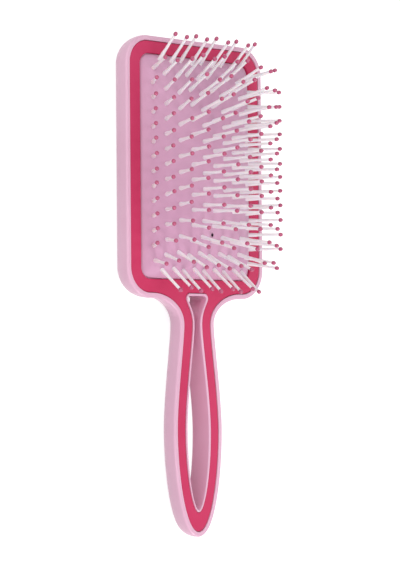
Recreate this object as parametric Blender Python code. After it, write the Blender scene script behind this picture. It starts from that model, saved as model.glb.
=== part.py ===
# Loop-handled cushion hair brush, in metres, +Z up.
# It lies on its flat back with the head at +Y, the handle at -Y and the pins pointing up.
from math import cos, pi, radians, sin, tan

import bmesh
import bpy
from mathutils import Vector

for old in list(bpy.data.objects):
    bpy.data.objects.remove(old, do_unlink=True)

# Moulded body
brush_length = 0.2400
head_width = 0.0910
head_length = 0.1250
body_thickness = 0.0120
floor_thickness = 0.0022
rim_width = 0.0027
rim_round = 0.0009
back_round_width = 0.0060
back_round_height = 0.0102
neck_width = 0.0225
neck_drop = 0.0152
heel_flat_width = 0.00175
grip_width = 0.0323
grip_to_end = 0.0509

# Loop in the handle
bridge_width = 0.00635
loop_top_width = 0.0149
loop_corner_radius = 0.0027
neck_arm_width = 0.0052
grip_arm_width = 0.00485
end_arm_width = 0.0089
lip_width = 0.0015
lip_round = 0.0006

# Face plate
plate_thickness = 0.0024
plate_recess = 0.0003
plate_round = 0.0005
plate_corner_radius = 0.0111
plate_heel_radius = 0.0120
frame_side_width = 0.0065
frame_top_width = 0.0058
frame_heel_width = 0.00635
window_corner_radius = 0.0057

# Air cushion
flange_width = 0.0030
flange_thickness = 0.0015
cushion_edge_depth = 0.0020
cushion_crown = 0.0148
skirt_width = 0.0008
skin_thickness = 0.0018
vent_diameter = 0.0011

# Pins
middle_rows = 15
pin_length = 0.0158
pin_root_diameter = 0.0024
pin_shaft_diameter = 0.0016
pin_neck_diameter = 0.00125
pin_collar_length = 0.0030
pin_root_depth = 0.0007
ball_diameter = 0.0021
ball_length = 0.0024
top_pin_margin = 0.0030
heel_pin_margin = 0.0041
stagger_setback = 0.0008
outer_column_setback = 0.0044
corner_pin_inset = 0.0009
side_fan_angle = radians(43.0)
end_fan_angle = radians(49.0)

# Clearances between neighbouring pieces, and how far a cutter runs past a face
fit_gap = 0.0003
overrun = 0.0010

# Curve handles, as shares of the stretch that each curve spans
shoulder_shares = (0.49, 0.59)
neck_shares = (0.165, 0.33)
end_shares = (0.43, 0.63)
loop_flare_shares = (0.17, 0.54)
loop_end_shares = (0.56, 0.44)

# Pin columns from the middle outwards, as shares of the window's half width
column_shares = (0.0, 0.185, 0.369, 0.554, 0.730, 0.876)
outer_slice_share = 0.40

# Air vent on the middle line, as a share of the window's half length
vent_share = -0.605

# Powers that shape the cushion: full crown in the middle, sides drawn in to the window
across_power, across_draw = 2.4, 0.70
along_power, along_draw = 3.0, 0.55
blend_power = 3.0

# Powers that shape how the pins fan out: how late they turn endwise, and how the outer columns hold back
side_fade_power = 3.0
top_fan_power, heel_fan_power = 2.5, 3.5
outer_hold, outer_power, corner_power = 2.0, 4.0, 11.0

# Facets
corner_steps = 8
curve_steps = 10
small_steps = 4
round_steps = 7
edge_steps = 2
slice_steps = 16
under_steps = 8
slice_width_steps = 2
pin_sides = 4
vent_sides = 8

# Places worked out from the sizes above
face_half_width = head_width / 2 - rim_width
face_top = brush_length / 2 - rim_width
face_heel = brush_length / 2 - head_length + rim_width
face_end = rim_width - brush_length / 2
neck_half_width = neck_width / 2 - rim_width
neck_y = face_heel - neck_drop
grip_half_width = grip_width / 2 - rim_width
grip_y = grip_to_end - brush_length / 2

window_half_width = face_half_width - frame_side_width
window_top = face_top - frame_top_width
window_bottom = face_heel + frame_heel_width
window_middle = (window_top + window_bottom) / 2
window_half_length = (window_top - window_bottom) / 2

plate_top_z = body_thickness - plate_recess
plate_bottom_z = plate_top_z - plate_thickness
plate_seat_z = plate_bottom_z - fit_gap
flange_top_z = plate_bottom_z - fit_gap
flange_bottom_z = flange_top_z - flange_thickness
flange_seat_z = flange_bottom_z - fit_gap
cushion_edge_z = plate_top_z - cushion_edge_depth


def arc(centre, radius, start, end, steps):
    """Points of a circular arc, both ends included, with angles in radians."""
    angles = [start + (end - start) * i / steps for i in range(steps + 1)]
    return [(centre[0] + radius * cos(a), centre[1] + radius * sin(a)) for a in angles]


def curve(start, pull_start, pull_end, end, steps):
    """Points of a cubic curve after its start, up to its end."""
    points = []
    for i in range(1, steps + 1):
        t = i / steps
        weights = ((1 - t) ** 3, 3 * t * (1 - t) ** 2, 3 * t * t * (1 - t), t ** 3)
        handles = (start, pull_start, pull_end, end)
        points.append(tuple(sum(w * h[k] for w, h in zip(weights, handles)) for k in (0, 1)))
    return points


def grip_and_end(neck, grip, end_y, shares):
    """The side of the handle, or of its loop, from the neck through the grip to the middle of its end."""
    stretch = neck[1] - grip[1]
    tail = grip[1] - end_y
    side = curve(
        neck,
        (neck[0], neck[1] - stretch * neck_shares[0]),
        (grip[0], grip[1] + stretch * neck_shares[1]),
        grip,
        curve_steps,
    )
    end = curve(grip, (grip[0], grip[1] - tail * shares[0]), (grip[0] * shares[1], end_y), (0.0, end_y), curve_steps)
    return side + end


def mirrored(right_side):
    """A closed outline, counter-clockwise, from its right side listed from the top down to the middle of the end."""
    left_side = [(-x, y) for x, y in right_side if x > 0]
    return left_side + right_side[::-1]


def face_outline(shift=0.0):
    """The face plate's outer edge: square head with round corners, shoulders, neck and grip.

    A shift moves every side outwards by that distance.
    """
    corner = (face_half_width - plate_corner_radius, face_top - plate_corner_radius)
    heel = (face_half_width - plate_heel_radius, face_heel + plate_heel_radius)
    shoulder = (heel[0] - heel_flat_width, face_heel - shift)
    neck = (neck_half_width + shift, neck_y)
    side = arc(corner, plate_corner_radius + shift, pi / 2, 0.0, corner_steps)
    side += arc(heel, plate_heel_radius + shift, 0.0, -pi / 2, corner_steps)
    side.append(shoulder)
    side += curve(
        shoulder,
        (shoulder[0] - (shoulder[0] - neck[0]) * shoulder_shares[0], shoulder[1]),
        (neck[0], neck[1] + (shoulder[1] - neck[1]) * shoulder_shares[1]),
        neck,
        curve_steps,
    )
    return mirrored(side + grip_and_end(neck, (grip_half_width + shift, grip_y), face_end - shift, end_shares))


def loop_outline(shift=0.0):
    """The face plate's edge round the loop: wide top corners, a narrow neck and a long drop.

    A shift moves every side outwards by that distance, so a negative one gives a narrower hole.
    """
    top = window_bottom - bridge_width + shift
    radius = loop_corner_radius + shift
    half_top = loop_top_width / 2 + shift
    corner = (half_top, top - radius)
    neck = (neck_half_width - neck_arm_width + shift, neck_y)
    drop = corner[1] - neck_y
    side = arc((half_top - radius, top - radius), radius, pi / 2, 0.0, small_steps)
    side += curve(
        corner,
        (corner[0], corner[1] - drop * loop_flare_shares[0]),
        (neck[0], neck_y + drop * loop_flare_shares[1]),
        neck,
        curve_steps,
    )
    grip = (grip_half_width - grip_arm_width + shift, grip_y)
    return mirrored(side + grip_and_end(neck, grip, face_end + end_arm_width - shift, loop_end_shares))


def window_outline(grown=0.0):
    """The face plate's window, or the same outline grown outwards by a distance."""
    half_width = window_half_width + grown
    half_length = window_half_length + grown
    radius = window_corner_radius + grown
    points = []
    for turn, (side, end) in enumerate(((1, 1), (-1, 1), (-1, -1), (1, -1))):
        centre = (side * (half_width - radius), window_middle + end * (half_length - radius))
        points += arc(centre, radius, turn * pi / 2, (turn + 1) * pi / 2, corner_steps)
    return points


def grown(outline, distance):
    """A closed counter-clockwise outline moved outwards along its own normals."""
    moved = []
    for i, point in enumerate(outline):
        before = Vector(point) - Vector(outline[i - 1])
        after = Vector(outline[(i + 1) % len(outline)]) - Vector(point)
        before.normalize()
        after.normalize()
        normal = Vector((before.y + after.y, -before.x - after.x)).normalized()
        moved.append(tuple(Vector(point) + normal * distance))
    return moved


def between(first, second, share):
    """The outline that lies a share of the way from one outline to another."""
    return [tuple(Vector(a).lerp(Vector(b), share)) for a, b in zip(first, second)]


def add_object(name, mesh_builder, material=None):
    """A new object from a bmesh, smooth apart from its sharp edges."""
    mesh = bpy.data.meshes.new(name)
    bmesh.ops.recalc_face_normals(mesh_builder, faces=mesh_builder.faces)
    mesh_builder.to_mesh(mesh)
    mesh_builder.free()
    mesh.shade_smooth()
    mesh.set_sharp_from_angle(angle=radians(35))
    piece = bpy.data.objects.new(name, mesh)
    bpy.context.scene.collection.objects.link(piece)
    if material:
        mesh.materials.append(material)
    return piece


def loft(name, rings, material=None, closed_loop=False):
    """A solid through rings of (outline, heights), where heights is one height or one for each point."""
    builder = bmesh.new()
    loops = []
    for outline, heights in rings:
        if not isinstance(heights, list):
            heights = [heights] * len(outline)
        loops.append([builder.verts.new((x, y, z)) for (x, y), z in zip(outline, heights)])
    pairs = list(zip(loops, loops[1:]))
    if closed_loop:
        pairs.append((loops[-1], loops[0]))
    for low, high in pairs:
        for i in range(len(low)):
            j = (i + 1) % len(low)
            builder.faces.new((low[i], low[j], high[j], high[i]))
    if not closed_loop:
        builder.faces.new(loops[0][::-1])
        builder.faces.new(loops[-1])
    return add_object(name, builder, material)


def as_cutter(piece):
    """Marks a shape as a tool that is not part of the brush."""
    piece.hide_render = True
    piece.display_type = "WIRE"
    return piece


def combine(piece, tool, operation):
    """Adds an exact Boolean of piece with tool."""
    step = piece.modifiers.new(operation.lower() + " " + tool.name, "BOOLEAN")
    step.operation = operation
    step.solver = "EXACT"
    step.object = tool


def coloured(name, colour, roughness):
    """A plastic or rubber colour."""
    material = bpy.data.materials.new(name)
    material.use_nodes = True
    shader = material.node_tree.nodes["Principled BSDF"]
    shader.inputs["Base Color"].default_value = (*colour, 1.0)
    shader.inputs["Roughness"].default_value = roughness
    shader.inputs["Metallic"].default_value = 0.0
    return material


def flared_cutter(name, outline, round_size, low_z, high_z, both_ends):
    """A cutter through a hole, opened out at its top, or at both ends, so that the edges come out round."""
    rings = []
    if both_ends:
        for i in range(edge_steps + 1):
            a = pi / 2 * i / edge_steps
            rings.append((grown(outline, round_size * (1 - sin(a))), low_z + round_size * (1 - cos(a))))
    else:
        rings.append((outline, low_z - overrun))
    for i in range(edge_steps + 1):
        a = pi / 2 * i / edge_steps
        rings.append((grown(outline, round_size * (1 - cos(a))), high_z - round_size * (1 - sin(a))))
    rings.append((rings[-1][0], high_z + overrun))
    if both_ends:
        rings.insert(0, (rings[0][0], low_z - overrun))
    return as_cutter(loft(name, rings))


def make_body():
    """The pale one-piece body: head tray, shoulders and loop handle, with a flat back and rounded sides."""
    outline = grown(face_outline(), rim_width)
    back = face_outline(rim_width - back_round_width)
    rings = []
    for i in range(round_steps + 1):
        a = pi / 2 * i / round_steps
        rings.append((between(back, outline, sin(a)), back_round_height * (1 - cos(a))))
    for i in range(edge_steps + 2):
        a = pi / 2 * i / (edge_steps + 1)
        rings.append((grown(outline, -rim_round * (1 - cos(a))), body_thickness - rim_round * (1 - sin(a))))
    body = loft("handle_body", rings, coloured("pale_pink_plastic", (0.74, 0.46, 0.60), 0.32))

    lip = grown(loop_outline(), -fit_gap)
    pocket_top = body_thickness + overrun
    pocket = as_cutter(loft("plate_pocket", [(grown(face_outline(), fit_gap), z) for z in (plate_seat_z, pocket_top)]))
    island = as_cutter(loft("loop_island", [(lip, z) for z in (plate_seat_z - overrun, pocket_top + overrun)]))
    combine(pocket, island, "DIFFERENCE")
    flange_pocket = as_cutter(
        loft("flange_pocket", [(window_outline(flange_width + fit_gap), z) for z in (flange_seat_z, pocket_top)])
    )
    chamber = as_cutter(loft("air_chamber", [(window_outline(), z) for z in (floor_thickness, pocket_top)]))
    hole = loop_outline(-lip_width)
    loop = flared_cutter("loop_hole", hole, lip_round, 0.0, body_thickness, True)
    for tool in (pocket, flange_pocket, chamber, loop):
        combine(body, tool, "DIFFERENCE")
    return body


def make_face_plate():
    """The crimson face plate: a frame round the cushion that runs on down both arms of the handle."""
    outline = face_outline()
    rings = [(outline, plate_bottom_z)]
    for i in range(edge_steps + 1):
        a = pi / 2 * i / edge_steps
        rings.append((grown(outline, -plate_round * (1 - cos(a))), plate_top_z - plate_round * (1 - sin(a))))
    plate = loft("face_plate", rings, coloured("crimson_plastic", (0.54, 0.045, 0.125), 0.30))
    window = flared_cutter("plate_window", window_outline(), plate_round, plate_bottom_z, plate_top_z, False)
    loop = flared_cutter("plate_loop", loop_outline(), plate_round, plate_bottom_z, plate_top_z, False)
    combine(plate, window, "DIFFERENCE")
    combine(plate, loop, "DIFFERENCE")
    return plate


def window_shares(x, y):
    """How far a place lies from the window's middle, as shares of its half width and half length."""
    return min(abs(x) / window_half_width, 1.0), min(abs(y - window_middle) / window_half_length, 1.0)


def cushion_z(x, y):
    """Height of the cushion's skin over a place in the window."""
    u, v = window_shares(x, y)
    across = (1 - u ** across_power) ** across_draw
    along = (1 - v ** along_power) ** along_draw
    drop = ((1 - across) ** blend_power + (1 - along) ** blend_power) ** (1 / blend_power)
    return cushion_edge_z + cushion_crown * max(1 - drop, 0.0)


def make_cushion_skirt(rubber):
    """The cushion's fixed border: a flange under the face plate and the foot of the drawn-in side."""
    rings = [(window_outline(flange_width), z) for z in (flange_bottom_z, flange_top_z)]
    rings.append((window_outline(-fit_gap), flange_top_z))
    for i in range(small_steps):
        inset = fit_gap + (skirt_width - fit_gap) * i / (small_steps - 1)
        outline = window_outline(-inset)
        rings.append((outline, [cushion_z(x, y) for x, y in outline]))
    rings.append((window_outline(-skirt_width), flange_bottom_z))
    return loft("cushion_skirt", rings, rubber, closed_loop=True)


def column_places():
    """The x of each pin column, from left to right."""
    right = [share * window_half_width for share in column_shares]
    return [-x for x in right[:0:-1]] + right


def slice_edges():
    """The x of each cut between neighbouring slices of the cushion, with the two outer ends."""
    columns = column_places()
    reach = window_half_width - skirt_width - fit_gap
    outer = columns[-2] + (columns[-1] - columns[-2]) * outer_slice_share
    inner = [(a + b) / 2 for a, b in zip(columns[1:-2], columns[2:-1])]
    return [-reach, -outer] + inner + [outer, reach]


def column_pins(index):
    """Root places of the pins in one column: 15 in every other column and 14 between, drawn in at the corners."""
    columns = column_places()
    x = columns[index]
    outermost = index in (0, len(columns) - 1)
    staggered = index % 2 == 0
    count = middle_rows - 1 if staggered else middle_rows
    setback = 0.0
    if outermost:
        setback = outer_column_setback
    elif staggered:
        setback = stagger_setback
    first = window_bottom + heel_pin_margin + setback
    last = window_top - top_pin_margin - setback
    places = []
    for row in range(count):
        at_end = outermost and row in (0, count - 1)
        inset = corner_pin_inset if at_end else 0.0
        places.append((x - inset if x > 0 else x + inset, first + (last - first) * row / (count - 1)))
    return places


def pin_direction(x, y):
    """Pins fan out to the sides, and near the ends of the cushion they turn to lean endwise instead."""
    u, v = window_shares(x, y)
    towards_top = y > window_middle
    margin, fan_power = (top_pin_margin, top_fan_power) if towards_top else (heel_pin_margin, heel_fan_power)
    nearness = min(v / (1 - margin / window_half_length), 1.0)
    hold = outer_hold * u ** outer_power * (1 - nearness ** corner_power)
    lean_x = side_fan_angle * u * (1 - nearness ** (side_fade_power / (1 - u * u)))
    lean_y = end_fan_angle * v ** fan_power * max(1 - hold, 0.0)
    across = tan(lean_x) if x > 0 else -tan(lean_x)
    along = tan(lean_y) if towards_top else -tan(lean_y)
    return Vector((across, along, 1.0)).normalized()


def add_pin(builder, x, y):
    """A tapered pin with a thick root and an oval ball on its tip."""
    root = Vector((x, y, cushion_z(x, y)))
    axis = pin_direction(x, y)
    side = axis.cross(Vector((0.0, 1.0, 0.0))).normalized()
    other = axis.cross(side)
    stations = (
        (-pin_root_depth, pin_root_diameter / 2),
        (pin_collar_length, pin_shaft_diameter / 2),
        (pin_length - ball_length / 2, pin_neck_diameter / 2),
        (pin_length, ball_diameter / 2),
    )
    loops = []
    for distance, radius in stations:
        ring = []
        for k in range(pin_sides):
            a = 2 * pi * k / pin_sides
            ring.append(builder.verts.new(root + axis * distance + side * radius * cos(a) + other * radius * sin(a)))
        loops.append(ring)
    for low, high in zip(loops, loops[1:]):
        for k in range(pin_sides):
            j = (k + 1) % pin_sides
            builder.faces.new((low[k], low[j], high[j], high[k]))
    tip = builder.verts.new(root + axis * (pin_length + ball_length / 2))
    for k in range(pin_sides):
        builder.faces.new((loops[-1][k], loops[-1][(k + 1) % pin_sides], tip))
    builder.faces.new(loops[0][::-1])


def skin_rows(builder, left, right, reach, steps, width_steps, depth):
    """Rows of points on the cushion's skin, or at a depth under it, between two sides and two ends."""
    rows = []
    for i in range(steps + 1):
        y = window_middle + reach * (2 * i / steps - 1)
        places = [left + (right - left) * k / width_steps for k in range(width_steps + 1)]
        rows.append([builder.verts.new((x, y, cushion_z(x, y) - depth)) for x in places])
    return rows


def make_cushion_slice(index, rubber, field):
    """One lengthwise slice of the cushion's moving skin, arched over the air chamber."""
    edges = slice_edges()
    gap = fit_gap / 2
    last = len(edges) - 2
    outermost = index in (0, last)
    left = edges[index] + (gap if index > 0 else -fit_gap)
    right = edges[index + 1] + (-gap if index < last else fit_gap)
    reach = window_half_length - skirt_width - (0.0 if outermost else fit_gap)
    builder = bmesh.new()
    tops = skin_rows(builder, left, right, reach, slice_steps, slice_width_steps, 0.0)
    unders = skin_rows(builder, left, right, reach, under_steps, 1, skin_thickness)
    for rows, over in ((tops, True), (unders, False)):
        for near, far in zip(rows, rows[1:]):
            for k in range(len(near) - 1):
                corners = (near[k], near[k + 1], far[k + 1], far[k])
                builder.faces.new(corners if over else corners[::-1])
    builder.faces.new(unders[0] + tops[0][::-1])
    builder.faces.new(unders[-1][::-1] + tops[-1])
    builder.faces.new([row[-1] for row in unders] + [row[-1] for row in tops[::-1]])
    builder.faces.new([row[0] for row in unders[::-1]] + [row[0] for row in tops])
    piece = add_object("pin_row_%02d" % (index + 1), builder, rubber)
    if outermost:
        combine(piece, field, "INTERSECT")
    return piece


def add_pins(piece, index):
    """Fuses a column of pins to its slice."""
    builder = bmesh.new()
    for x, y in column_pins(index):
        add_pin(builder, x, y)
    pins = as_cutter(add_object("pins_%02d" % (index + 1), builder))
    combine(piece, pins, "UNION")


def vent_cutter():
    """The air vent's bore, straight down through the cushion."""
    centre = (0.0, window_middle + vent_share * window_half_length)
    bore = arc(centre, vent_diameter / 2, 0.0, 2 * pi, vent_sides)[:-1]
    top = cushion_edge_z + cushion_crown + overrun
    return as_cutter(loft("vent_bore", [(bore, flange_bottom_z), (bore, top)]))


make_body()
make_face_plate()
make_cushion_skirt(coloured("lilac_rubber", (0.58, 0.29, 0.45), 0.55))
field_outline = window_outline(-skirt_width - fit_gap)
field = as_cutter(
    loft("crown_field", [(field_outline, z) for z in (flange_bottom_z, cushion_edge_z + cushion_crown)])
)
vent = vent_cutter()
for number in range(len(column_places())):
    row = make_cushion_slice(number, coloured("pin_row_%02d" % (number + 1), (0.62, 0.36, 0.50), 0.50), field)
    if number == len(column_places()) // 2:
        combine(row, vent, "DIFFERENCE")
    add_pins(row, number)
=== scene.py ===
# A loop-handled cushion hair brush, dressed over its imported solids. Lengths are in metres.
from math import cos, pi, radians, sin, tan

import bmesh
import bpy
from mathutils import Matrix, Vector


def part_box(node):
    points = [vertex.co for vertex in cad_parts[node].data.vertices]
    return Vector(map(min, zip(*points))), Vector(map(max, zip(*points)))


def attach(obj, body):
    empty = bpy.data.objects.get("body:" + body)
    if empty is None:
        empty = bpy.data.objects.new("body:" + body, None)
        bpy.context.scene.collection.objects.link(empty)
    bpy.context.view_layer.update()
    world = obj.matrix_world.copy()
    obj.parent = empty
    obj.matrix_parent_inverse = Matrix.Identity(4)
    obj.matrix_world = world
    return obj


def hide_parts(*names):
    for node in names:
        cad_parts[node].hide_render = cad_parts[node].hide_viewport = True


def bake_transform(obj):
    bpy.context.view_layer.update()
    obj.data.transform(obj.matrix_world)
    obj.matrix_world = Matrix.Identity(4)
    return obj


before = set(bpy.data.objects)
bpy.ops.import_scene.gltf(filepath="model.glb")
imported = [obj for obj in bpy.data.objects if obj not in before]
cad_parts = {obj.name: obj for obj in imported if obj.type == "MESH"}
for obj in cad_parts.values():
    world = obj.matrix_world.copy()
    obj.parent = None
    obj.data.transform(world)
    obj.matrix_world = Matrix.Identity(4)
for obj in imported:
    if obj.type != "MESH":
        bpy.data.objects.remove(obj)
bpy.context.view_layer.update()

print("frame loaded:", len(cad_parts), "solids")

bodyLow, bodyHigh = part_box("handle_body")
plateLow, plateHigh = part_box("face_plate")
skirtLow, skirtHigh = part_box("cushion_skirt")


# Outlines, seen from above with the head at +Y

outline = {
    "headWidth": bodyHigh.x - bodyLow.x,
    "headLength": 0.1250,
    "rimWidth": 0.0027,
    "neckWidth": 0.0225,
    "neckDrop": 0.0152,
    "gripWidth": 0.0323,
    "gripToEnd": 0.0509,
    "plateCorner": 0.0111,
    "plateHeelCorner": 0.0120,
    "heelFlat": 0.00175,
    "frameSide": 0.0065,
    "frameTop": 0.0058,
    "frameHeel": 0.00635,
    "windowCorner": 0.0057,
    "bridge": 0.00635,
    "loopTopWidth": 0.0149,
    "loopCorner": 0.0027,
    "neckArm": 0.0052,
    "gripArm": 0.00485,
    "endArm": 0.0089,
    "shoulderShares": (0.49, 0.59),  # these five say how far the handles of a curve reach along it
    "neckShares": (0.165, 0.33),
    "endShares": (0.43, 0.63),
    "flareShares": (0.17, 0.54),
    "loopEndShares": (0.56, 0.44),
    "cornerSteps": 20,
    "curveSteps": 32,
    "smallSteps": 10,
    "roundSteps": 6,
}

faceSide = outline["headWidth"] / 2 - outline["rimWidth"]
faceTop = bodyHigh.y - outline["rimWidth"]
faceHeel = bodyHigh.y - outline["headLength"] + outline["rimWidth"]
faceEnd = bodyLow.y + outline["rimWidth"]
neckSide = outline["neckWidth"] / 2 - outline["rimWidth"]
neckY = faceHeel - outline["neckDrop"]
gripSide = outline["gripWidth"] / 2 - outline["rimWidth"]
gripY = bodyLow.y + outline["gripToEnd"]

windowSide = faceSide - outline["frameSide"]
windowTop = faceTop - outline["frameTop"]
windowHeel = faceHeel + outline["frameHeel"]
windowMiddle = (windowTop + windowHeel) / 2
windowReach = (windowTop - windowHeel) / 2


def arcPoints(centre, radius, start, end, steps):
    angles = [start + (end - start) * i / steps for i in range(steps + 1)]
    return [(centre[0] + radius * cos(a), centre[1] + radius * sin(a)) for a in angles]


def curvePoints(start, pullStart, pullEnd, end):
    steps = outline["curveSteps"]
    points = []
    for i in range(1, steps + 1):
        t = i / steps
        weights = ((1 - t) ** 3, 3 * t * (1 - t) ** 2, 3 * t * t * (1 - t), t ** 3)
        handles = (start, pullStart, pullEnd, end)
        points.append(tuple(sum(w * h[k] for w, h in zip(weights, handles)) for k in (0, 1)))
    return points


def gripSidePoints(neck, grip, endY, endShares):
    # one side of the handle, or of its loop, from the neck down to the middle of the end
    stretch, tail = neck[1] - grip[1], grip[1] - endY
    near, far = outline["neckShares"]
    underNeck, overGrip = (neck[0], neck[1] - stretch * near), (grip[0], grip[1] + stretch * far)
    underGrip, besideEnd = (grip[0], grip[1] - tail * endShares[0]), (grip[0] * endShares[1], endY)
    side = curvePoints(neck, underNeck, overGrip, grip)
    return side + curvePoints(grip, underGrip, besideEnd, (0.0, endY))


def mirrored(rightSide):
    return [(-x, y) for x, y in rightSide if x > 0] + rightSide[::-1]


def faceOutline(shift=0.0):
    # the plate's outer edge, with every side moved outwards by the shift
    corner, heel = outline["plateCorner"], outline["plateHeelCorner"]
    near, far = outline["shoulderShares"]
    shoulder = (faceSide - heel - outline["heelFlat"], faceHeel - shift)
    neck = (neckSide + shift, neckY)
    reach, drop = shoulder[0] - neck[0], shoulder[1] - neck[1]
    steps = outline["cornerSteps"]
    side = arcPoints((faceSide - corner, faceTop - corner), corner + shift, pi / 2, 0.0, steps)
    side += arcPoints((faceSide - heel, faceHeel + heel), heel + shift, 0.0, -pi / 2, steps)
    side.append(shoulder)
    inwards, overNeck = (shoulder[0] - reach * near, shoulder[1]), (neck[0], neck[1] + drop * far)
    side += curvePoints(shoulder, inwards, overNeck, neck)
    grip, endY = (gripSide + shift, gripY), faceEnd - shift
    return mirrored(side + gripSidePoints(neck, grip, endY, outline["endShares"]))


def loopOutline(shift=0.0):
    # the plate's edge round the loop, with every side moved outwards by the shift
    top, radius = windowHeel - outline["bridge"] + shift, outline["loopCorner"] + shift
    halfTop = outline["loopTopWidth"] / 2 + shift
    corner, neck = (halfTop, top - radius), (neckSide - outline["neckArm"] + shift, neckY)
    near, far = outline["flareShares"]
    drop = corner[1] - neckY
    side = arcPoints((halfTop - radius, top - radius), radius, pi / 2, 0.0, outline["smallSteps"])
    underCorner, overNeck = (corner[0], corner[1] - drop * near), (neck[0], neckY + drop * far)
    side += curvePoints(corner, underCorner, overNeck, neck)
    grip = (gripSide - outline["gripArm"] + shift, gripY)
    endY = faceEnd + outline["endArm"] - shift
    return mirrored(side + gripSidePoints(neck, grip, endY, outline["loopEndShares"]))


def windowOutline(distance=0.0):
    # the plate's window, moved outwards by the distance
    side, reach = windowSide + distance, windowReach + distance
    radius = outline["windowCorner"] + distance
    points = []
    for turn, (x, y) in enumerate(((1, 1), (-1, 1), (-1, -1), (1, -1))):
        centre = (x * (side - radius), windowMiddle + y * (reach - radius))
        start, end = turn * pi / 2, (turn + 1) * pi / 2
        points += arcPoints(centre, radius, start, end, outline["cornerSteps"])
    return points


def grown(points, distance):
    # a counter-clockwise outline moved outwards along its own normals
    moved = []
    for i, point in enumerate(points):
        before = (Vector(point) - Vector(points[i - 1])).normalized()
        after = (Vector(points[(i + 1) % len(points)]) - Vector(point)).normalized()
        normal = Vector((before.y + after.y, -before.x - after.x)).normalized()
        moved.append(tuple(Vector(point) + normal * distance))
    return moved


def evenly(points, count):
    # the same closed outline with a number of points at equal distances
    corners = [Vector(point) for point in points] + [Vector(points[0])]
    steps = [(b - a).length for a, b in zip(corners, corners[1:])]
    spacing, spaced, walked, i = sum(steps) / count, [], 0.0, 0
    for k in range(count):
        while i < len(steps) - 1 and walked + steps[i] < k * spacing:
            walked += steps[i]
            i += 1
        spaced.append(tuple(corners[i].lerp(corners[i + 1], (k * spacing - walked) / steps[i])))
    return spaced


def between(first, second, share):
    return [tuple(Vector(a).lerp(Vector(b), share)) for a, b in zip(first, second)]


def quarter(offset, height, radius, start, steps=outline["roundSteps"]):
    # a quarter round of a section, as (distance from the outline, height)
    angles = [start + pi / 2 * i / steps for i in range(steps + 1)]
    return [(offset + radius * cos(a), height + radius * sin(a)) for a in angles]


# Mesh helpers

def ring(builder, points, height):
    heights = height if isinstance(height, list) else [height] * len(points)
    return [builder.verts.new((x, y, z)) for (x, y), z in zip(points, heights)]


def bridge(builder, rings):
    for low, high in zip(rings, rings[1:]):
        for i in range(len(low)):
            j = (i + 1) % len(low)
            builder.faces.new((low[i], low[j], high[j], high[i]))


def sweep(builder, outlines):
    # a skin through closed outlines, each with its height; gives the first and last ring
    rings = [ring(builder, points, height) for points, height in outlines]
    bridge(builder, rings)
    return rings[0], rings[-1]


def followed(points, section):
    return [(grown(points, offset), height) for offset, height in section]


def fill(builder, *rings):
    # a flat face between an outer ring and the holes in it
    edges = []
    for loop in rings:
        for i, vert in enumerate(loop):
            pair = (vert, loop[(i + 1) % len(loop)])
            edges.append(builder.edges.get(pair) or builder.edges.new(pair))
    bmesh.ops.triangle_fill(builder, use_beauty=True, use_dissolve=False, edges=edges)


def finished(name, builder, material, sharpAngle=radians(30)):
    mesh = bpy.data.meshes.new(name)
    bmesh.ops.recalc_face_normals(builder, faces=builder.faces)
    builder.to_mesh(mesh)
    builder.free()
    mesh.materials.append(material)
    mesh.shade_smooth()
    mesh.set_sharp_from_angle(angle=sharpAngle)
    piece = bpy.data.objects.new(name, mesh)
    bpy.context.scene.collection.objects.link(piece)
    return piece


def weighted(piece):
    # keeps the flat faces flat where they meet a round edge
    step = piece.modifiers.new("Weighted Normal", "WEIGHTED_NORMAL")
    step.keep_sharp = True
    return piece


# Node helpers

def feed(tree, socket, value):
    # a socket takes another socket's value, or a plain one
    if isinstance(value, bpy.types.NodeSocket):
        tree.links.new(value, socket)
    else:
        socket.default_value = value


def node(tree, kind, inputs, **values):
    # a new node with its properties set and its inputs fed, by name or by number
    made = tree.nodes.new(kind)
    for key, value in values.items():
        setattr(made, key, value)
    for key, value in inputs.items():
        feed(tree, made.inputs[key], value)
    return made


def mathNode(tree, operation, first, second):
    return node(tree, "ShaderNodeMath", {0: first, 1: second}, operation=operation).outputs["Value"]


def remapped(tree, value, span, results, kind="LINEAR"):
    names = ("Value", "From Min", "From Max", "To Min", "To Max")
    inputs = dict(zip(names, (value, *span, *results)))
    return node(tree, "ShaderNodeMapRange", inputs, interpolation_type=kind).outputs["Result"]


# Materials: each has a clouded colour and an uneven gloss, and the larger pieces a fine grain

noiseRoughness = 0.55
noiseSpan = (0.3, 0.7)  # most of the noise lies between these
white = (1.0, 1.0, 1.0, 1.0)


def linear(red, green, blue):
    # a screen colour from 0 to 255 as the shader's own values
    def channel(value):
        value /= 255
        return value / 12.92 if value <= 0.04045 else ((value + 0.055) / 1.055) ** 2.4

    return (channel(red), channel(green), channel(blue), 1.0)


def noise(tree, scale, detail):
    # noise on the piece's own coordinates, with its scale in turns per metre
    place = node(tree, "ShaderNodeTexCoord", {}).outputs["Object"]
    inputs = {"Vector": place, "Scale": scale, "Detail": detail, "Roughness": noiseRoughness}
    return node(tree, "ShaderNodeTexNoise", inputs).outputs["Fac"]


def newMaterial(name, plain):
    # a material whose shader takes its plain values by the names of their sockets
    material = bpy.data.materials.new(name)
    material.use_nodes = True
    shader = material.node_tree.nodes["Principled BSDF"]
    for key, value in plain.items():
        shader.inputs[key].default_value = value
    return material, material.node_tree, shader


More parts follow.
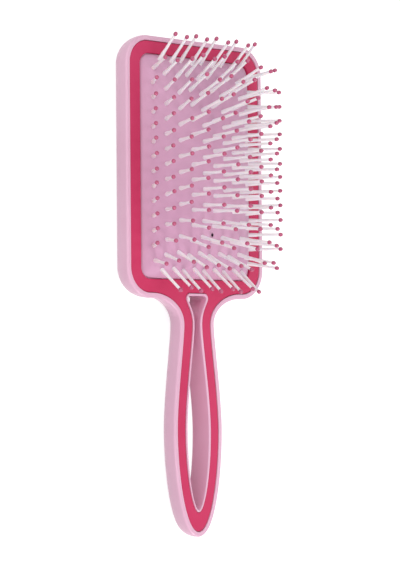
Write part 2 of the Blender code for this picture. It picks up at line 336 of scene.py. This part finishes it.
def finishedMaterial(name, finish):
    material, tree, shader = newMaterial(name, finish["shader"])
    clouds = noise(tree, finish["cloudScale"], finish["cloudDetail"])
    colour = node(tree, "ShaderNodeValToRGB", {"Fac": clouds})
    stops = zip(finish["cloudSpan"], (finish["dark"], finish["light"]))
    for element, (position, shade) in zip(colour.color_ramp.elements, stops):
        element.position, element.color = position, shade
    tree.links.new(colour.outputs["Color"], shader.inputs["Base Color"])
    gloss = noise(tree, finish["glossScale"], finish["glossDetail"])
    gloss = remapped(tree, gloss, noiseSpan, finish["roughness"])
    tree.links.new(gloss, shader.inputs["Roughness"])
    if "grainScale" in finish:
        grain = noise(tree, finish["grainScale"], finish["grainDetail"])
        sizes = {"Strength": finish["grainStrength"], "Distance": finish["grainDepth"]}
        grain = node(tree, "ShaderNodeBump", {"Height": grain, **sizes})
        tree.links.new(grain.outputs["Normal"], shader.inputs["Normal"])
    return material


pinkFinish = {  # satin moulded plastic
    "dark": linear(222, 172, 197),
    "light": linear(229, 182, 206),
    "cloudScale": 24.0,
    "cloudDetail": 3.0,
    "cloudSpan": (0.32, 0.68),
    "glossScale": 216.0,
    "glossDetail": 5.0,
    "roughness": (0.29, 0.41),
    "grainScale": 2600.0,
    "grainDetail": 2.0,
    "grainStrength": 0.12,
    "grainDepth": 0.00002,
    "shader": {
        "Roughness": 0.34,
        "Specular IOR Level": 0.5,
        "Coat Weight": 0.1,
        "Coat Roughness": 0.22,
    },
}

loopShadeFinish = {  # the plastic in a deeper pink: painted shade and bounce light in the loop
    **pinkFinish,
    "dark": linear(227, 164, 191),
    "light": linear(233, 173, 200),
}

crimsonFinish = {  # the same plastic, duller and uncoated
    **pinkFinish,
    "dark": linear(197, 47, 91),
    "light": linear(206, 56, 101),
    "roughness": (0.37, 0.49),
    "shader": {"Roughness": 0.42, "Specular IOR Level": 0.25},
}

rubberFinish = {  # matt rubber with a soft sheen
    "dark": linear(204, 152, 183),
    "light": linear(213, 164, 193),
    "cloudScale": 30.0,
    "cloudDetail": 3.0,
    "cloudSpan": (0.3, 0.7),
    "glossScale": 260.0,
    "glossDetail": 4.0,
    "roughness": (0.48, 0.62),
    "grainScale": 1500.0,
    "grainDetail": 3.0,
    "grainStrength": 0.35,
    "grainDepth": 0.00006,
    "shader": {
        "Roughness": 0.55,
        "Specular IOR Level": 0.4,
        "Sheen Weight": 0.15,
        "Sheen Roughness": 0.5,
    },
}

nylonFinish = {  # milky nylon: pale, a little translucent, glossy
    "dark": linear(243, 238, 241),
    "light": linear(248, 244, 247),
    "cloudScale": 120.0,
    "cloudDetail": 2.0,
    "cloudSpan": (0.3, 0.7),
    "glossScale": 120.0,
    "glossDetail": 2.0,
    "roughness": (0.29, 0.38),
    "shader": {
        "Roughness": 0.34,
        "Specular IOR Level": 0.4,
        "Subsurface Weight": 0.08,
        "Subsurface Scale": 0.0005,
    },
}

tipFinish = {  # dipped tips: glossy, and lighter where the drop ran thin
    "dark": linear(170, 56, 100),
    "light": linear(196, 82, 125),
    "cloudScale": 700.0,
    "cloudDetail": 2.0,
    "cloudSpan": (0.3, 0.7),
    "glossScale": 1200.0,
    "glossDetail": 3.0,
    "roughness": (0.18, 0.30),
    "shader": {"Roughness": 0.22, "Coat Weight": 0.4, "Coat Roughness": 0.1},
}

pinkPlastic = finishedMaterial("pinkPlastic", pinkFinish)
# a shaded copy of the pink plastic: painted shade and bounce light for the loop's inner wall
loopShadePink = finishedMaterial("loopShadePink", loopShadeFinish)
crimsonPlastic = finishedMaterial("crimsonPlastic", crimsonFinish)
lilacRubber = finishedMaterial("lilacRubber", rubberFinish)
milkyNylon = finishedMaterial("milkyNylon", nylonFinish)
crimsonTip = finishedMaterial("crimsonTip", tipFinish)
print("materials made")


# Moulded body, with its pocket for the plate, the seat of the cushion and the air chamber

body = {
    "thickness": bodyHigh.z,
    "rimRound": 0.0009,
    "backRoundWidth": 0.0060,
    "backRoundHeight": 0.0102,
    "backSteps": 18,
    "mouthRound": 0.00025,
    "mouthSteps": 4,
    "lipWidth": 0.0015,
    "lipRound": 0.0006,
    "fitGap": 0.0003,
    "floor": 0.0022,
}


def makeBody():
    top, gap = body["thickness"], body["fitGap"]
    small, smallSteps = body["mouthRound"], body["mouthSteps"]
    seat, flangeSeat = plateLow.z - gap, skirtLow.z - gap
    builder = bmesh.new()
    outer = grown(faceOutline(), outline["rimWidth"])
    inner = faceOutline(outline["rimWidth"] - body["backRoundWidth"])
    backSteps, backHeight = body["backSteps"], body["backRoundHeight"]
    turns = [pi / 2 * i / backSteps for i in range(backSteps + 1)]
    outlines = [(between(inner, outer, sin(a)), backHeight * (1 - cos(a))) for a in turns]
    mouth = gap - outline["rimWidth"]
    section = quarter(-body["rimRound"], top - body["rimRound"], body["rimRound"], 0.0)
    section += quarter(mouth + small, top - small, small, pi / 2, smallSteps) + [(mouth, seat)]
    back, pocket = sweep(builder, outlines + followed(outer, section))

    lip, lipRound = body["lipWidth"], body["lipRound"]
    section = [(-gap, seat)] + quarter(-gap - small, top - small, small, 0.0, smallSteps)
    section += quarter(lipRound - lip, top - lipRound, lipRound, pi / 2)
    section += quarter(lipRound - lip, lipRound, lipRound, pi)
    known = len(builder.faces)
    island, loopBack = sweep(builder, [(loopOutline(offset), height) for offset, height in section])
    builder.faces.ensure_lookup_table()
    for face in builder.faces[known:]:  # painted shade: the loop's inner wall takes a deeper pink
        if face.calc_center_median().z < top - lipRound:
            face.material_index = 1

    flangeEdge = windowOutline(skirtHigh.x - windowSide + gap)
    flange, flangeFloor = ring(builder, flangeEdge, seat), ring(builder, flangeEdge, flangeSeat)
    chamberTop = ring(builder, windowOutline(), flangeSeat)
    chamberFloor = ring(builder, windowOutline(), body["floor"])
    bridge(builder, [flange, flangeFloor, chamberTop, chamberFloor])
    builder.faces.new(chamberFloor)
    fill(builder, pocket, island, flange)
    fill(builder, back, loopBack)
    made = finished("mouldedBody", builder, pinkPlastic)
    made.data.materials.append(loopShadePink)
    return weighted(made)


mouldedBody = makeBody()
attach(mouldedBody, "brush")
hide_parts("handle_body")
print("body made")


# Face plate

plate = {
    "edgeRound": 0.0005,
    "spread": 0.00014,  # fills part of the seam round the plate, which shows as a fine line
}


def makeFacePlate():
    low, high, edge = plateLow.z, plateHigh.z, plate["edgeRound"]
    builder = bmesh.new()
    outer = [(0.0, low)] + quarter(-edge, high - edge, edge, 0.0)
    inner = [(0.0, low)] + quarter(edge, high - edge, edge, pi / 2)[::-1]
    wider = plate["spread"]
    edges = ((faceOutline(wider), outer), (windowOutline(), inner), (loopOutline(-wider), inner))
    lows, highs = [], []
    for points, section in edges:
        first, last = sweep(builder, followed(points, section))
        lows.append(first)
        highs.append(last)
    fill(builder, *lows)
    fill(builder, *highs)
    return weighted(finished("crimsonFacePlate", builder, crimsonPlastic))


facePlate = makeFacePlate()
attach(facePlate, "brush")
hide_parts("face_plate")
print("face plate made")


# Air cushion: one stretched rubber skin with its border held under the plate

cushion = {
    "edgeDepth": 0.0020,
    "crown": 0.0148,
    "skin": 0.0018,
    "acrossPower": 2.4,  # the dome's section across, then along, then how the two are joined
    "acrossDraw": 0.70,
    "alongPower": 3.0,
    "alongDraw": 0.55,
    "blendPower": 3.0,
    "rings": 56,
    "ringPoints": 240,
    "ringCrowding": 1.6,  # above 1, the rings are finer towards the steep edge
    "underStart": 3,  # the underside leaves out the rings before this one
    "sharpAngle": radians(50),
    "rimGap": 0.00006,
    "rollDepth": 0.0012,
    "ventDiameter": 0.0016,
    "ventLip": 0.00015,
    "ventMouth": 0.0050,
    "ventSides": 24,
    "ventShare": -0.605,
    "turnHeight": 0.0055,
}
cushionEdge = plateHigh.z - cushion["edgeDepth"]


def windowShares(x, y):
    return min(abs(x) / windowSide, 1.0), min(abs(y - windowMiddle) / windowReach, 1.0)


def cushionHeight(x, y):
    u, v = windowShares(x, y)
    across = (1 - u ** cushion["acrossPower"]) ** cushion["acrossDraw"]
    along = (1 - v ** cushion["alongPower"]) ** cushion["alongDraw"]
    power = cushion["blendPower"]
    drop = ((1 - across) ** power + (1 - along) ** power) ** (1 / power)
    return cushionEdge + cushion["crown"] * max(1 - drop, 0.0)


def makeCushion():
    gap, flangeReach = cushion["rimGap"], skirtHigh.x - windowSide
    flangeTop = plateLow.z - body["fitGap"]
    rolled = plateHigh.z - cushion["rollDepth"]  # the skin rolls up against the plate's wall
    rim = evenly(windowOutline(-gap), cushion["ringPoints"])
    flange = grown(rim, flangeReach + gap)
    builder = bmesh.new()
    tops = [ring(builder, flange, flangeTop), ring(builder, rim, flangeTop)]
    unders = [ring(builder, flange, skirtLow.z), ring(builder, rim, skirtLow.z)]
    for i in range(cushion["rings"]):
        share = 1 - (i / cushion["rings"]) ** cushion["ringCrowding"]
        points = [(x * share, windowMiddle + (y - windowMiddle) * share) for x, y in rim]
        heights = [max(cushionHeight(x, y), rolled) for x, y in points]
        tops.append(ring(builder, points, heights))
        if i >= cushion["underStart"]:
            unders.append(ring(builder, points, [z - cushion["skin"] for z in heights]))
    bridge(builder, tops)
    bridge(builder, unders)
    bridge(builder, [tops[0], unders[0]])
    builder.faces.new(tops[-1])
    builder.faces.new(unders[-1])
    return finished("rubberCushion", builder, lilacRubber, cushion["sharpAngle"])


def punchVent(skin):
    # a small hole that opens out under its lip, so that the dark chamber shows through it
    y = windowMiddle + cushion["ventShare"] * windowReach
    top, bore, mouth = cushionHeight(0.0, y), cushion["ventDiameter"] / 2, cushion["ventMouth"] / 2
    under, lip = top - cushion["skin"], top - cushion["ventLip"]
    section = ((mouth, skirtLow.z), (mouth, under), (bore, lip), (bore, top + bore))
    builder, circles = bmesh.new(), []
    for radius, z in section:
        circle = arcPoints((0.0, y), radius, 0.0, 2 * pi, cushion["ventSides"])
        circles.append((circle[:-1], z))
    for end in sweep(builder, circles):
        builder.faces.new(end)
    punch = finished("ventPunch", builder, lilacRubber)
    step = skin.modifiers.new("Vent", "BOOLEAN")
    step.operation, step.solver, step.object = "DIFFERENCE", "EXACT", punch
    evaluated = skin.evaluated_get(bpy.context.evaluated_depsgraph_get())
    punched = bpy.data.meshes.new_from_object(evaluated)
    skin.modifiers.clear()
    skin.data = punched
    bpy.data.objects.remove(punch)


rubberCushion = makeCushion()
punchVent(rubberCushion)
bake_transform(rubberCushion)
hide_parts("cushion_skirt")
print("cushion made")


# Pins: milky shafts with thick collars, and dipped tips

pins = {
    "middleRows": 15,
    "columnShares": (0.0, 0.185, 0.369, 0.554, 0.730, 0.876),
    "topMargin": 0.0030,
    "heelMargin": 0.0041,
    "staggerSetback": 0.0008,
    "outerSetback": 0.0044,
    "cornerInset": 0.0009,
    "sideFan": radians(43.0),
    "endFan": radians(49.0),
    "sideFade": 3.0,  # the lean to the sides fades towards the two ends
    "topFan": 2.5,
    "heelFan": 3.5,
    "middleSpread": 0.75,  # the fan to the ends starts earlier on the middle columns
    "outerHold": 2.0,  # the outermost columns lean to the ends only at the corners
    "outerPower": 4.0,
    "cornerPower": 11.0,
    "length": 0.0158,
    "rootDepth": 0.0007,
    "rootDiameter": 0.0022,
    "shaftDiameter": 0.00156,
    "neckDiameter": 0.00136,
    "collarStart": 0.0004,
    "collarEnd": 0.0070,
    "ballDiameter": 0.0021,
    "ballLength": 0.0024,
    "ballSegments": 12,
    "ballRings": 7,
    "rings": 7,
    "sides": 10,
    "lean": 0.025,
    "seed": 7,
}


def columnPins(column, columns):
    # the roots of one column, counted from the left; every second column has one pin fewer
    x = columns[column]
    outermost = column in (0, len(columns) - 1)
    staggered = column % 2 == 0
    count = pins["middleRows"] - 1 if staggered else pins["middleRows"]
    setback = pins["outerSetback"] if outermost else pins["staggerSetback"] if staggered else 0.0
    first = windowHeel + pins["heelMargin"] + setback
    last = windowTop - pins["topMargin"] - setback
    places = []
    for row in range(count):
        inset = pins["cornerInset"] if outermost and row in (0, count - 1) else 0.0
        y = first + (last - first) * row / (count - 1)
        places.append((x - inset if x > 0 else x + inset, y))
    return places


def pinAxis(x, y):
    u, v = windowShares(x, y)
    towardsTop = y > windowMiddle
    margin = pins["topMargin"] if towardsTop else pins["heelMargin"]
    fan = pins["topFan"] if towardsTop else pins["heelFan"]
    fan -= pins["middleSpread"] * (1 - u * u)
    nearness = min(v / (1 - margin / windowReach), 1.0)
    hold = pins["outerHold"] * u ** pins["outerPower"] * (1 - nearness ** pins["cornerPower"])
    leanAcross = pins["sideFan"] * u * (1 - nearness ** (pins["sideFade"] / (1 - u * u)))
    leanAlong = pins["endFan"] * v ** fan * max(1 - hold, 0.0)
    across = tan(leanAcross) if x > 0 else -tan(leanAcross)
    along = tan(leanAlong) if towardsTop else -tan(leanAlong)
    return Vector((across, along, 1.0)).normalized()


def pinRoots(name):
    # a point for each pin, which carries the pin's axis
    right = [share * windowSide for share in pins["columnShares"]]
    columns = [-x for x in right[:0:-1]] + right
    roots = [place for i in range(len(columns)) for place in columnPins(i, columns)]
    mesh = bpy.data.meshes.new(name)
    mesh.from_pydata([(x, y, cushionHeight(x, y)) for x, y in roots], [], [])
    attribute = mesh.attributes.new("pinAxis", "FLOAT_VECTOR", "POINT")
    attribute.data.foreach_set("vector", [c for x, y in roots for c in pinAxis(x, y)])
    holder = bpy.data.objects.new(name, mesh)
    bpy.context.scene.collection.objects.link(holder)
    return holder


def newTree(name, sizes):
    # a geometry tree with named inputs; gives the sockets of its two ends
    tree = bpy.data.node_groups.new(name, "GeometryNodeTree")
    tree.interface.new_socket("Geometry", in_out="INPUT", socket_type="NodeSocketGeometry")
    tree.interface.new_socket("Geometry", in_out="OUTPUT", socket_type="NodeSocketGeometry")
    for key, value in sizes.items():
        kind = "NodeSocketInt" if isinstance(value, int) else "NodeSocketFloat"
        tree.interface.new_socket(key, in_out="INPUT", socket_type=kind)
    tree.interface.new_socket("Material", in_out="INPUT", socket_type="NodeSocketMaterial")
    return tree, tree.nodes.new("NodeGroupInput").outputs, tree.nodes.new("NodeGroupOutput").inputs


def scatterOnRoots(tree, given, result, shape):
    # puts a shape on each root and makes it real; it stands along the pin's axis with a seeded lean
    axis = node(
        tree, "GeometryNodeInputNamedAttribute", {"Name": "pinAxis"}, data_type="FLOAT_VECTOR"
    )
    reach = {"Min": (-1.0, -1.0, 0.0), "Max": (1.0, 1.0, 0.0), "Seed": given["Seed"]}
    lean = node(tree, "FunctionNodeRandomValue", reach, data_type="FLOAT_VECTOR")
    factors = {0: lean.outputs["Value"], "Scale": given["Lean"]}
    lean = node(tree, "ShaderNodeVectorMath", factors, operation="SCALE")
    terms = {0: axis.outputs["Attribute"], 1: lean.outputs["Vector"]}
    upright = node(tree, "ShaderNodeVectorMath", terms, operation="ADD").outputs["Vector"]
    turn = node(tree, "FunctionNodeAlignRotationToVector", {"Vector": upright}, axis="Z")
    smooth = node(tree, "GeometryNodeSetShadeSmooth", {"Geometry": shape})
    onPoints = node(tree, "GeometryNodeInstanceOnPoints", {
        "Points": given["Geometry"],
        "Instance": smooth.outputs["Geometry"],
        "Rotation": turn.outputs["Rotation"],
    })
    real = node(tree, "GeometryNodeRealizeInstances", {"Geometry": onPoints.outputs["Instances"]})
    painted = node(tree, "GeometryNodeSetMaterial", {
        "Geometry": real.outputs["Geometry"],
        "Material": given["Material"],
    })
    tree.links.new(painted.outputs["Geometry"], result["Geometry"])


def shaftTree():
    # a turned shaft: a thick collar at the root, then a long taper to the neck under the tip
    sizes = {
        "Root Depth": pins["rootDepth"],
        "Pin Length": pins["length"],
        "Collar Start": pins["collarStart"],
        "Collar End": pins["collarEnd"],
        "Root Radius": pins["rootDiameter"] / 2,
        "Shaft Radius": pins["shaftDiameter"] / 2,
        "Neck Radius": pins["neckDiameter"] / 2,
        "Rings": pins["rings"],
        "Sides": pins["sides"],
        "Lean": pins["lean"],
        "Seed": pins["seed"],
    }
    tree, given, result = newTree("pinShafts", sizes)
    ends = {"Start": (0.0, 0.0, 0.0), "End": (0.0, 0.0, 1.0)}
    line = node(tree, "GeometryNodeCurvePrimitiveLine", ends).outputs["Curve"]
    spaced = node(tree, "GeometryNodeResampleCurve", {"Curve": line, "Count": given["Rings"]})
    along = node(tree, "GeometryNodeSplineParameter", {}).outputs["Factor"]
    eased = mathNode(tree, "MULTIPLY", along, along)  # rings crowd together near the collar
    whole = mathNode(tree, "ADD", given["Pin Length"], given["Root Depth"])
    height = mathNode(tree, "MULTIPLY", eased, whole)
    height = mathNode(tree, "SUBTRACT", height, given["Root Depth"])
    placed = node(tree, "GeometryNodeSetPosition", {
        "Geometry": spaced.outputs["Curve"],
        "Position": node(tree, "ShaderNodeCombineXYZ", {"Z": height}).outputs["Vector"],
    })
    here = node(tree, "GeometryNodeInputPosition", {}).outputs["Position"]
    rise = node(tree, "ShaderNodeSeparateXYZ", {"Vector": here}).outputs["Z"]
    radii = (given["Shaft Radius"], given["Neck Radius"])
    taper = remapped(tree, rise, (0.0, given["Pin Length"]), radii)
    collar = mathNode(tree, "SUBTRACT", given["Root Radius"], given["Shaft Radius"])
    span = (given["Collar Start"], given["Collar End"])
    collar = remapped(tree, rise, span, (collar, 0.0), "SMOOTHSTEP")
    profile = {"Resolution": given["Sides"], "Radius": 1.0}
    tube = node(tree, "GeometryNodeCurveToMesh", {
        "Curve": placed.outputs["Geometry"],
        "Profile Curve": node(tree, "GeometryNodeCurvePrimitiveCircle", profile).outputs["Curve"],
        "Scale": mathNode(tree, "ADD", taper, collar),
        "Fill Caps": True,
    })
    scatterOnRoots(tree, given, result, tube.outputs["Mesh"])
    return tree, sizes


def tipTree():
    # an oval ball, pulled along the pin's axis
    sizes = {
        "Pin Length": pins["length"],
        "Ball Radius": pins["ballDiameter"] / 2,
        "Ball Stretch": pins["ballLength"] / pins["ballDiameter"],
        "Segments": pins["ballSegments"],
        "Rings": pins["ballRings"],
        "Lean": pins["lean"],
        "Seed": pins["seed"],
    }
    tree, given, result = newTree("pinTips", sizes)
    ball = node(tree, "GeometryNodeMeshUVSphere", {
        "Segments": given["Segments"],
        "Rings": given["Rings"],
        "Radius": given["Ball Radius"],
    })
    lift = node(tree, "ShaderNodeCombineXYZ", {"Z": given["Pin Length"]})
    pull = node(tree, "ShaderNodeCombineXYZ", {"X": 1.0, "Y": 1.0, "Z": given["Ball Stretch"]})
    shape = node(tree, "GeometryNodeTransform", {
        "Geometry": ball.outputs["Mesh"],
        "Translation": lift.outputs["Vector"],
        "Scale": pull.outputs["Vector"],
    })
    scatterOnRoots(tree, given, result, shape.outputs["Geometry"])
    return tree, sizes


def grow(name, tree, sizes, material, slot):
    # runs a tree on the pins' roots and keeps its plain mesh
    holder = pinRoots(name)
    step = holder.modifiers.new("Pins", "NODES")
    step.node_group = tree
    values = dict(sizes, Material=material)
    for item in tree.interface.items_tree:
        if item.in_out == "INPUT" and item.name in values:
            step[item.identifier] = values[item.name]
    evaluated = holder.evaluated_get(bpy.context.evaluated_depsgraph_get())
    mesh = bpy.data.meshes.new_from_object(evaluated)
    holder.modifiers.clear()
    holder.data = mesh
    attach(holder, "cushion")
    return holder


pinRows = [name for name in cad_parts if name.startswith("pin_row_")]
pinShafts = grow("pinShafts", *shaftTree(), milkyNylon, "pin_rows")
pinTips = grow("pinTips", *tipTree(), crimsonTip, "pin_rows")
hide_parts(*pinRows)
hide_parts(*pinRows)
print("pins made:", len(pinShafts.data.polygons), len(pinTips.data.polygons), "faces")


# Floor, lights and camera

studio = {
    "floorReach": 1.6,
    "floorDrop": 0.0001,
    "floorShade": 0.58,
    "floorGlow": 0.75,
    "floorRoughness": 0.9,
    "worldLight": 0.45,
    "lamps": {  # each with its place, width and power
        "overLamp": ((0.0, 0.0, 0.95), 0.60, 1.6),
        "handleLamp": ((0.1, -0.85, 0.45), 0.50, 4.2),
        "headLamp": ((-0.45, 0.55, 0.55), 0.55, 1.5),
        "leftLamp": ((-0.72, -0.15, 0.42), 0.55, 1.1),
        "lowLeftLamp": ((-0.95, 0.10, 0.15), 0.50, 1.2),
        "rightLamp": ((0.75, 0.05, 0.50), 0.50, 0.5),
    },
    "cameraPlace": (-0.7352, -0.0345, 0.7750),  # then the directions of its own three axes
    "cameraRight": (0.7195, -0.0083, 0.6944),
    "cameraUp": (-0.0176, 0.9994, 0.0302),
    "cameraBack": (-0.6943, -0.0340, 0.7189),
    "focalPixels": 2191.6,
    "imageHeight": 570,
    "sensorWidth": 36.0,
    "clipStart": 0.05,
    "clipEnd": 10.0,
}


def seenRays(tree, *kinds):
    # 1 for the kinds of ray that are to find plain white
    rays = node(tree, "ShaderNodeLightPath", {}).outputs
    value = rays[kinds[0]]
    for kind in kinds[1:]:
        value = mathNode(tree, "MAXIMUM", value, rays[kind])
    return value


def makeFloor():
    builder = bmesh.new()
    reach, z = studio["floorReach"], -studio["floorDrop"]
    corners = ((-reach, -reach, z), (reach, -reach, z), (reach, reach, z), (-reach, reach, z))
    builder.faces.new([builder.verts.new(corner) for corner in corners])
    material, tree, shader = newMaterial("paleFloor", {
        "Roughness": studio["floorRoughness"],
        "Specular IOR Level": 0.0,
        "Base Color": (*[studio["floorShade"]] * 3, 1.0),
        "Emission Color": white,
    })
    seen = seenRays(tree, "Is Camera Ray", "Is Glossy Ray", "Is Transmission Ray")
    glow = mathNode(tree, "MULTIPLY", seen, studio["floorGlow"])
    tree.links.new(glow, shader.inputs["Emission Strength"])
    finished("floor", builder, material)


def makeWorld():
    world = bpy.data.worlds.new("studio")
    world.use_nodes = True
    bpy.context.scene.world = world
    tree = world.node_tree
    background = tree.nodes["Background"]
    background.inputs["Color"].default_value = white
    seen = seenRays(tree, "Is Camera Ray", "Is Glossy Ray", "Is Transmission Ray")
    strength = remapped(tree, seen, (0.0, 1.0), (studio["worldLight"], 1.0))
    tree.links.new(strength, background.inputs["Strength"])


def addLamp(name, place, size, power):
    light = bpy.data.lights.new(name, "AREA")
    light.shape, light.size, light.energy = "DISK", size, power
    lamp = bpy.data.objects.new(name, light)
    lamp.location = place
    lamp.rotation_euler = (-Vector(place)).to_track_quat("-Z", "Y").to_euler()
    bpy.context.scene.collection.objects.link(lamp)


def makeCamera():
    camera = bpy.data.cameras.new("camera")
    camera.sensor_width = studio["sensorWidth"]
    camera.lens = studio["focalPixels"] * studio["sensorWidth"] / studio["imageHeight"]
    camera.clip_start, camera.clip_end = studio["clipStart"], studio["clipEnd"]
    holder = bpy.data.objects.new("camera", camera)
    turn = Matrix([studio["cameraRight"], studio["cameraUp"], studio["cameraBack"]]).transposed()
    turn = turn.to_quaternion().normalized().to_matrix().to_4x4()
    holder.matrix_world = Matrix.Translation(studio["cameraPlace"]) @ turn
    bpy.context.scene.collection.objects.link(holder)
    bpy.context.scene.camera = holder


makeFloor()
makeWorld()
for name, (place, size, power) in studio["lamps"].items():
    addLamp(name, place, size, power)
makeCamera()
bpy.context.scene.view_settings.view_transform = "Standard"
print("studio made")
